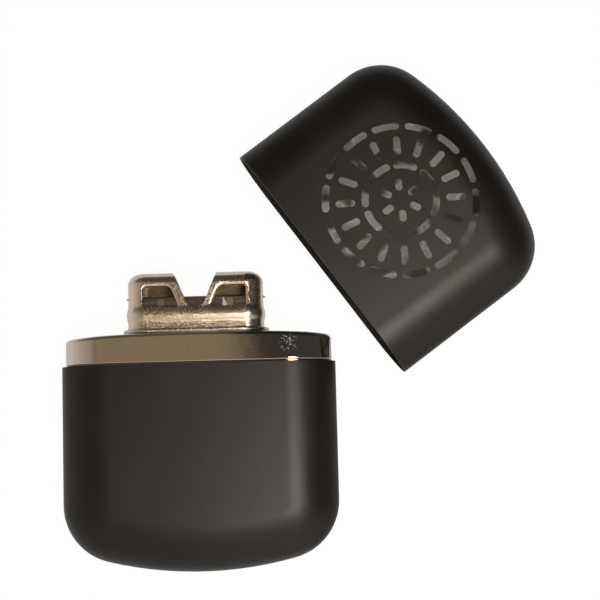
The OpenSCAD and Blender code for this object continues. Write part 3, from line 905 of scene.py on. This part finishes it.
def roughen(piece, amount, seed):
    """Makes a soft piece's surface uneven."""
    edit(piece, "SELECT")
    bpy.ops.mesh.quads_convert_to_tris()
    bpy.ops.mesh.subdivide(number_cuts=1)
    bpy.ops.transform.vertex_random(offset=amount, uniform=0.0, normal=0.6, seed=seed)


class WARMER_OT_filling(bpy.types.Operator):
    """Model the cotton that fills the tank"""

    bl_idname = "warmer.filling"
    bl_label = "Filling"

    def execute(self, context):
        s = sizes()
        top = height_mm("cotton_wadding")
        lower_top, swell = s.tank_height - 5.3, 0.6
        inset = s.case_wall + 0.9
        lower = casing_skin("cotton_lower", s, lower_top - swell, s.tank_corner, s.tank_crown, inset)
        pick("EDGE", lambda e: e.is_boundary)
        bpy.ops.mesh.edge_face_add()
        tidy_mesh()
        radius = s.edge_band - 2.5
        ends = (lower_top - 3, top - swell)
        upper = turned("cotton_upper", [(radius, end) for end in ends], steps=32)
        for end in ends:
            close_level(end)
        stretch(1, 0.6)
        pull_apart(s.case_width / 2 - s.edge_band)
        piece = join("cotton_filling", [lower, upper])
        apply(piece, "REMESH", mode="VOXEL", voxel_size=1.3)
        roughen(piece, 0.18, 7)
        bpy.ops.mesh.vertices_smooth(factor=0.5, repeat=2)
        finish(piece, cotton)
        set_down(piece, tank_place(), "tank", "cotton_wadding", flat_faces=False)
        return {"FINISHED"}


# ---- Burner ----------------------------------------------------------------------------

CORNER = 4.6      # radius of the cover's upright corners
COVER_WALL = 0.45
CAGE_GAP = 0.65   # from the cover's wall in to the cage
CAGE_WALL = 0.3
TAB_WIDTH = 2.4   # of the cage's end tabs, which stand out through slots in the cover
ROLL = 0.75       # radius of the windows' rolled rims
SWELL = 0.42      # how far the band over the cover's foot stands out
SWELL_SHAPE = (   # (share of the swell, height above the foot)
    (0.3, 0.12), (0.27, 0.8), (0.25, 1.5), (0.33, 1.85), (0.52, 2.15), (0.74, 2.5), (0.91, 2.9), (0.99, 3.3),
    (1.0, 3.6), (0.93, 4.05), (0.74, 4.5), (0.44, 4.95), (0.16, 5.35), (0.03, 5.65),
)


def plan_pull(s):
    """How far a turned piece's quarters are pulled apart to fill the cover's plan."""
    return {"pull_x": s.burner_width / 2 - CORNER, "pull_y": s.burner_depth / 2 - CORNER}


def notch_cutter(centre, radius, lean, top_half, top, deep):
    """Block for the lighting notch: a round bottom whose ends run straight up to the top corners."""
    tool = add("notch", bpy.ops.mesh.primitive_circle_add, vertices=72, radius=radius,
               rotation=UPRIGHT, location=(0, -deep / 2, centre))
    edit(tool)
    pick("VERT", lambda v: v.co.z > centre - radius * math.sin(lean) + 0.01)
    bpy.ops.mesh.delete(type="VERT")
    for side in (-1, 1):
        pick("VERT", lambda v: len(v.link_edges) == 1 and v.co.x * side > 0)
        mesh = bmesh.from_edit_mesh(tool.data)
        end = next(v.co.copy() for v in mesh.verts if v.select)
        corner = Vector((side * top_half, end.y, top))
        bpy.ops.mesh.extrude_vertices_move(TRANSFORM_OT_translate={"value": corner - end})
    fill_out(deep)
    return tool


class WARMER_OT_burner_cover(bpy.types.Operator):
    """Model the stamped nickel cover of the burner head"""

    bl_idname = "warmer.burner_cover"
    bl_label = "Burner Cover"

    def execute(self, context):
        s = sizes()
        foot, top = height_mm("tank_top") + 1, height_mm("burner_shroud")
        across, up = 3.3, 2.8
        section = [
            *((CORNER + SWELL * share, foot + rise) for share, rise in SWELL_SHAPE),
            (CORNER, top - up - 4), (CORNER, top - up), *arc((CORNER - across, top - up), across, up, 0, 90, 12),
        ]
        piece = turned("burner_cover", section, **plan_pull(s))
        close_level(top)
        tidy_mesh()
        finish(piece, satin_nickel, browned_inside)
        give_wall(piece, COVER_WALL)

        notch_r, notch_half, notch_low, sill_rise = 2.8, 5.5, 5.2, 5.5
        centre = foot + notch_low + notch_r
        reach = math.hypot(notch_half, top - centre)
        lean = math.atan2(notch_half, top - centre) - math.asin(notch_r / reach)
        through = s.burner_depth + 3
        cut_away(piece, notch_cutter(centre, notch_r, lean, notch_half + math.tan(lean), top + 1, through))
        sill = foot + sill_rise
        inner = notch_half - (top - sill) * math.tan(lean) + 2 / math.cos(lean)
        rims = []
        for side in (-1, 1):
            opening = window_outline(s, side, sill, lean, inner)
            cutter = duplicate(opening)
            edit(cutter, "SELECT")
            move(y=-2)
            extrude(y=5)
            tidy_mesh()
            cut_away(piece, cutter)
            rims.append(roll_rim(s, opening))
        tab_z = height_mm("catalyst_cage") - CAGE_WALL / 2
        cut_away(piece, block("tab_slots", (0, 0, tab_z), (s.burner_width + 2, TAB_WIDTH + 0.2, CAGE_WALL + 0.1)))
        apply(piece, "BEVEL", width=0.13, segments=3, limit_method="ANGLE", angle_limit=math.radians(50))
        piece = join("burner_cover", [piece, *rims])
        set_down(piece, neck_place(), "burner", "burner_shroud")
        return {"FINISHED"}


def window_outline(s, side, sill, lean, inner):
    """Flat outline of one window on the cover's front, out to where its rim starts to roll in."""
    outer, tall, rounding = 12.6 + ROLL, 4.9, 1.5
    low, high = sill - ROLL, sill + tall + ROLL
    inner_low = inner - ROLL * (math.tan(lean) + 1 / math.cos(lean))
    inner_high = inner_low + (high - low) * math.tan(lean)
    front = -s.burner_depth / 2
    outline = add("window", bpy.ops.mesh.primitive_plane_add, size=2, rotation=UPRIGHT, location=(0, front, 0))
    edit(outline)
    set_corners(front, {
        (-side, -1): (side * inner_low, low), (side, -1): (side * outer, low),
        (side, 1): (side * outer, high), (-side, 1): (side * inner_high, high),
    })
    pick_all()
    bpy.ops.mesh.bevel(offset=rounding, segments=5, affect="VERTICES")
    leave_edit()
    return outline


def roll_rim(s, rim):
    """Rolls a window's rim inwards from its outline, along the cover's face."""
    edit(rim, "SELECT")
    steps = 6
    turns = [math.radians(90 * i / steps) for i in range(steps + 1)]
    for here, there in zip(turns, turns[1:]):
        bpy.ops.mesh.inset(thickness=ROLL * (math.sin(there) - math.sin(here)), depth=0, use_boundary=True)
        move(y=ROLL * (math.cos(here) - math.cos(there)))
    extrude(y=0.25)
    bpy.ops.mesh.delete(type="FACE")
    flat = s.burner_width / 2 - CORNER
    mesh = bmesh.from_edit_mesh(bpy.context.edit_object.data)
    for x in sorted({round(abs(v.co.x), 4) for v in mesh.verts if abs(v.co.x) > flat}):
        pick("VERT", lambda v: abs(abs(v.co.x) - x) < 0.0001)
        move(y=CORNER - math.sqrt(CORNER ** 2 - (x - flat) ** 2))
    finish(rim, satin_nickel, browned_inside)
    apply(rim, "SOLIDIFY", thickness=COVER_WALL, offset=-1, material_offset=1)
    return rim


class WARMER_OT_burner_socket(bpy.types.Operator):
    """Model the socket that slides over the neck, and its two leaf springs"""

    bl_idname = "warmer.burner_socket"
    bl_label = "Burner Socket"

    def execute(self, context):
        s = sizes()
        top = height_mm("burner_base")
        foot = upright_mm(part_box("burner_base")[0][1])
        wall, slip, edge = 0.35, 0.05, 0.35
        corner = CORNER - COVER_WALL - slip
        section = [(corner, foot), *arc((corner - edge, top - edge), edge, edge, 0, 90, 4), (2.2, top)]
        piece = turned("burner_socket", section, **plan_pull(s))
        finish(piece, plain_steel)
        give_wall(piece, wall, inside=False)
        edit(piece)
        soften(0.08)
        set_down(piece, neck_place(), "burner", "burner_base")

        seat = s.burner_depth / 2 - COVER_WALL - slip - wall
        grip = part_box("spring_clip_front")
        low, high = upright_mm(grip[0][1]), upright_mm(grip[1][1])
        bow = (grip[1][2] - grip[0][2]) / MM - 0.25
        for side, label in ((-1, "front"), (1, "back")):
            spring = leaf_spring("socket_spring_" + label, side, seat, bow, low, high)
            finish(spring, plain_steel)
            set_down(spring, neck_place(), "burner", "spring_clip_" + label)
        return {"FINISHED"}


def leaf_spring(name, side, seat, bow, low, high):
    """Bowed strip seated on the socket's wall, extruded up its curve."""
    steps, width, sheet = 12, 12, 0.25
    strip = add(name, bpy.ops.mesh.primitive_plane_add, size=width, location=(0, side * seat, low))
    edit(strip)
    pick("VERT", lambda v: v.co.y > side * seat)
    bpy.ops.mesh.delete(type="VERT")
    pick_all()
    move(y=width / 2)
    rise = (high - low) / steps
    bend = [bow * math.sin(math.pi * i / steps) ** 2 for i in range(steps + 1)]
    for here, there in zip(bend, bend[1:]):
        extrude(y=-side * (there - here), z=rise)
    pick_all()
    bpy.ops.mesh.normals_make_consistent(inside=False)
    pick("FACE", everywhere)
    mesh = bmesh.from_edit_mesh(bpy.context.edit_object.data)
    if sum(f.normal.y for f in mesh.faces) * side < 0:
        bpy.ops.mesh.flip_normals()
    give_wall(strip, sheet, inside=False)
    edit(strip)
    soften(0.06)
    return strip


class WARMER_OT_catalyst(bpy.types.Operator):
    """Model the gauze, the fibre mat and the perforated cage"""

    bl_idname = "warmer.catalyst"
    bl_label = "Catalyst"

    def execute(self, context):
        weave_gauze()
        lay_mat(sizes())
        stamp_cage(sizes())
        return {"FINISHED"}


def weave_gauze():
    """Wires over and under each other, from a grid whose points go up and down in turn."""
    low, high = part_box("support_gauze")
    middle = upright_mm((low[1] + high[1]) / 2)
    width, depth = (high[0] - low[0]) / MM - 0.2, (high[2] - low[2]) / MM - 0.2
    pitch = 1.3
    columns, rows = round(width / pitch), round(depth / pitch)
    piece = add("woven_gauze", bpy.ops.mesh.primitive_grid_add, x_subdivisions=columns, y_subdivisions=rows,
                size=1, location=(0, 0, middle))
    edit(piece, "SELECT")
    stretch(width, depth, (0, 0, middle))
    for lift in (0, 1):
        pick("VERT", lambda v: (round((v.co.x + width / 2) / (width / columns))
                                + round((v.co.y + depth / 2) / (depth / rows))) % 2 == lift)
        move(z=0.05 - 0.1 * lift)
    pick("VERT", lambda v: abs(v.co.x) > width / 2 - 0.1 and abs(v.co.y) > depth / 2 - 0.1)
    bpy.ops.mesh.delete(type="VERT")
    apply(piece, "WIREFRAME", thickness=0.26, use_even_offset=False, use_replace=True)
    apply(piece, "SUBSURF", levels=1, render_levels=1)
    finish(piece, wire_gauze)
    set_down(piece, neck_place(), "burner", "support_gauze", flat_faces=False)


def lay_mat(s):
    """Fibre pad that fills the cage."""
    low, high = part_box("catalyst_mat")
    foot, top = upright_mm(low[1]), upright_mm(high[1])
    corner, edge = (high[2] - low[2]) / MM / 2 - (s.burner_depth / 2 - CORNER), 0.9
    section = [*arc((corner - edge, foot + edge), edge, edge, -90, 0, 4),
               *arc((corner - edge, top - edge), edge, edge, 0, 90, 4), (1.2, top), (0.5, top)]
    piece = turned("fibre_mat", section, steps=48, **plan_pull(s))
    close_level(foot)
    close_level(top)
    tidy_mesh()
    apply(piece, "REMESH", mode="VOXEL", voxel_size=0.4)
    roughen(piece, 0.09, 11)
    finish(piece, catalyst_fibre)
    set_down(piece, neck_place(), "burner", "catalyst_mat", flat_faces=False)


def stamp_cage(s):
    """Cap of sheet with wide openings, its end tabs and the two lances over the middle opening."""
    low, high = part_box("catalyst_cage")
    foot, top = upright_mm(low[1]), upright_mm(high[1])
    depth = (high[2] - low[2]) / MM
    corner, edge = CORNER - COVER_WALL - CAGE_GAP, 0.55
    rail, bar, end = 0.6, 1.7, 2.3
    half, wide = s.burner_width / 2 - COVER_WALL - CAGE_GAP, 15.4
    narrow = half - wide / 2 - bar - end
    section = [(corner, foot), (corner, top - edge), *arc((corner - edge, top - edge), edge, edge, 0, 90, 5)]
    piece = turned("catalyst_grid", section, steps=48, **plan_pull(s))
    close_level(top)
    tidy_mesh()
    finish(piece, burnt_nickel)
    give_wall(piece, CAGE_WALL, inside=False)
    side_depth = s.burner_depth - 2 * COVER_WALL - 2 * CAGE_GAP
    top_hole = (side_depth - 3 * bar) / 2
    tools = []
    for x, hole in ((-half + end + narrow / 2, narrow), (0, wide), (half - end - narrow / 2, narrow)):
        tools.append(block("side_hole", (x, 0, (foot + top) / 2), (hole, depth + 4, top - foot - 2 * rail)))
        for side in (-1, 1):
            middle = side * (top_hole + bar) / 2
            tools.append(block("top_hole", (x, middle, top + 0.35), (hole, top_hole, 1.3)))
    cut_away(piece, join("cage_holes", tools))
    apply(piece, "BEVEL", width=0.06, segments=2, limit_method="ANGLE", angle_limit=math.radians(50))
    parts = [piece]
    reach = s.burner_width / 2 + 0.4
    start = half - 2 * CAGE_WALL
    for side in (-1, 1):
        middle = (side * (reach + start) / 2, 0, top - CAGE_WALL / 2)
        tab = block("end_tab", middle, (reach - start, TAB_WIDTH, CAGE_WALL))
        edit(tab)
        soften(0.1)
        leave_edit()
        finish(tab, burnt_nickel)
        parts.append(tab)
        parts.append(bent_lance(side, (wide + bar) / 2, side_depth / 2, foot + 0.6, top - foot - 0.9))
    piece = join("catalyst_grid", parts)
    set_down(piece, neck_place(), "burner", "catalyst_cage")


def bent_lance(side, x, y, z, tall):
    """Triangular lance cut from a bar and bent outwards over the wide hole."""
    lance = add("lance", bpy.ops.mesh.primitive_plane_add, size=1, rotation=UPRIGHT)
    edit(lance)
    set_corners(0, {
        (-0.5, -0.5): (-1.7, 0), (0.5, -0.5): (-0.5, 0), (0.5, 0.5): (-1.5, tall), (-0.5, 0.5): (-1.7, tall),
    })
    pick_all()
    extrude(y=CAGE_WALL)
    tidy_mesh()
    soften(0.05)
    finish(lance, plain_steel)
    turn = Matrix.Rotation(0 if side > 0 else math.pi, 4, "Z")
    lay(lance, turn @ Matrix.Translation((x, -y, z)) @ Matrix.Rotation(math.radians(13), 4, "Z"))
    return lance


# ---- Studio ----------------------------------------------------------------------------


class WARMER_OT_studio(bpy.types.Operator):
    """Set up the camera, the floor and the soft lights"""

    bl_idname = "warmer.studio"
    bl_label = "Studio"

    def execute(self, context):
        aim_camera()
        lay_floor()
        hang_lamps()
        light_world()
        context.scene.view_settings.view_transform = "Standard"
        return {"FINISHED"}


def aim_camera():
    """Looks down on the object from 400 mm, tilted 6 degrees towards the tank's closed end."""
    tilt, roll, distance = math.radians(6), math.radians(-1.48), 0.4
    target = Vector((25.58, 40.95, 8.5)) * MM
    back = Vector((0, -math.sin(tilt), math.cos(tilt)))
    up = Vector((0, math.cos(tilt), math.sin(tilt)))
    right = up.cross(back)
    across = right * math.cos(roll) + up * math.sin(roll)
    upwards = up * math.cos(roll) - right * math.sin(roll)
    data = bpy.data.cameras.new("camera")
    data.lens, data.sensor_width = 96, 36
    data.clip_start, data.clip_end = 0.01, 20
    camera = bpy.data.objects.new("camera", data)
    bpy.context.scene.collection.objects.link(camera)
    turn = Matrix((across, upwards, back)).transposed().to_4x4()
    camera.matrix_world = Matrix.Translation(target + back * distance) @ turn
    bpy.context.scene.camera = camera


def lay_floor():
    """White paper floor that keeps a faint shadow, and is seen dimmer in the metal at its lower right: painted
    shade.
    """
    floor = add("floor", bpy.ops.mesh.primitive_plane_add, size=8)
    tree, shader, place = start_finish("white_paper")
    fill(tree, shader, {"Base Color": (0.8, 0.8, 0.8, 1), "Roughness": 1.0, "Specular IOR Level": 0.0})
    rays = node(tree, "LightPath").outputs
    mirrored = maths(tree, "MAXIMUM", rays["Is Glossy Ray"], rays["Is Transmission Ray"])
    where = node(tree, "SeparateXYZ", {0: place}).outputs
    # Painted shade: where the metal mirrors the floor, the floor is dimmed at the lower right, beside the tank.
    right = spread(tree, where["X"], 0.028, 0.04)
    low = spread(tree, where["Y"], 0.045, 0.03)
    dimmed = spread(tree, maths(tree, "MULTIPLY", right, low), 0.0, 1.0, 0.62, 0.32)
    reflected = maths(tree, "MULTIPLY", mirrored, dimmed)
    bright = maths(tree, "ADD", maths(tree, "MULTIPLY", rays["Is Camera Ray"], 1.03), reflected)
    seen = maths(tree, "MAXIMUM", rays["Is Camera Ray"], mirrored)
    white = node(tree, "Emission", {"Color": (1, 1, 1, 1), "Strength": bright})
    mix = node(tree, "MixShader", {0: maths(tree, "MULTIPLY", seen, 0.9), 1: shader.outputs[0],
                                   2: white.outputs[0]})
    output = next(n for n in tree.nodes if n.type == "OUTPUT_MATERIAL")
    fill(tree, output, {"Surface": mix.outputs[0]})
    floor.data.materials.append(bpy.data.materials["white_paper"])


def hang_lamps():
    """A small round key lamp to the right, and a broad fill that no surface mirrors."""
    lamps = (
        ("key", (0.165, -0.065, 0.6), (0.115, -0.03, 0.0), 0.2, 0.15, math.radians(36), (1.0, 0.9, 0.79), True),
        ("fill", (0.0, -0.1, 1.3), (0.03, 0.03, 0.0), 1.6, 15.0, math.pi, (1.0, 0.97, 0.93), False),
    )
    for name, place, target, size, watts, cone, tone, glossy in lamps:
        data = bpy.data.lights.new(name, "AREA")
        data.shape, data.size, data.energy, data.color, data.spread = "DISK", size, watts, tone, cone
        lamp = bpy.data.objects.new(name, data)
        bpy.context.scene.collection.objects.link(lamp)
        lamp.visible_glossy = glossy
        aim = (Vector(place) - Vector(target)).normalized()
        lamp.matrix_world = Matrix.Translation(place) @ aim.to_track_quat("Z", "Y").to_matrix().to_4x4()


def light_world():
    """Room light: pale to the left, dark to the right and beyond the top, bright below the bottom."""
    world = bpy.context.scene.world or bpy.data.worlds.new("room")
    bpy.context.scene.world = world
    world.use_nodes = True
    tree = world.node_tree
    tree.nodes.clear()
    way = node(tree, "SeparateXYZ", {0: node(tree, "TexCoord").outputs["Generated"]}).outputs
    ramp = node(tree, "ValToRGB", {0: spread(tree, way["X"], -1.0, 1.0)})
    stops = (
        (-1.0, (0.6, 0.55, 0.49)), (-0.85, (0.44, 0.4, 0.36)), (-0.62, (0.33, 0.295, 0.25)),
        (-0.5, (0.22, 0.19, 0.155)), (-0.42, (0.28, 0.225, 0.155)), (-0.3, (0.27, 0.215, 0.15)),
        (-0.05, (0.26, 0.21, 0.145)), (-0.037, (0.21, 0.165, 0.115)), (-0.029, (0.045, 0.038, 0.034)),
        (0.1, (0.045, 0.042, 0.04)), (1.0, (0.05, 0.047, 0.045)),
    )
    band = ramp.color_ramp
    while len(band.elements) < len(stops):
        band.elements.new(0.5)
    for element, (where, shade) in zip(band.elements, stops):
        element.position = (where + 1) / 2
        element.color = (*shade, 1)
    beyond = spread(tree, way["Y"], 0.25, 0.5, 1.0, 0.4)
    room = blend(tree, 1.0, ramp.outputs[0], beyond, "MULTIPLY")
    nearby = blend(tree, spread(tree, way["X"], -0.1, 0.0), (0.55, 0.49, 0.41), (0.95, 0.87, 0.76))
    room = blend(tree, spread(tree, way["Y"], -0.2, -0.5), room, nearby)
    glow = node(tree, "Background", {"Color": room, "Strength": 1.0})
    node(tree, "OutputWorld", {"Surface": glow.outputs[0]})


# ---- Panel and start -------------------------------------------------------------------

OPERATORS = (
    WARMER_OT_studio,
    WARMER_OT_tank_casing,
    WARMER_OT_filling,
    WARMER_OT_collar,
    WARMER_OT_filler_neck,
    WARMER_OT_burner_socket,
    WARMER_OT_catalyst,
    WARMER_OT_burner_cover,
    WARMER_OT_cap_casing,
)


class WARMER_PT_panel(bpy.types.Panel):
    """Lists the steps that build the hand warmer"""

    bl_idname = "WARMER_PT_panel"
    bl_label = "Hand Warmer"
    bl_space_type = "VIEW_3D"
    bl_region_type = "UI"
    bl_category = "Hand Warmer"

    def draw(self, context):
        for operator in OPERATORS:
            self.layout.operator(operator.bl_idname)


CLASSES = (WarmerSizes, WarmerFinishes, *OPERATORS, WARMER_PT_panel)


def register():
    for cls in CLASSES:
        bpy.utils.register_class(cls)
    bpy.types.Scene.warmer_sizes = bpy.props.PointerProperty(type=WarmerSizes)
    bpy.types.Scene.warmer_finishes = bpy.props.PointerProperty(type=WarmerFinishes)


def unregister():
    del bpy.types.Scene.warmer_finishes
    del bpy.types.Scene.warmer_sizes
    for cls in reversed(CLASSES):
        bpy.utils.unregister_class(cls)


def main():
    register()
    for operator in OPERATORS:
        group, step = operator.bl_idname.split(".")
        getattr(getattr(bpy.ops, group), step)()


if __name__ == "__main__":
    main()
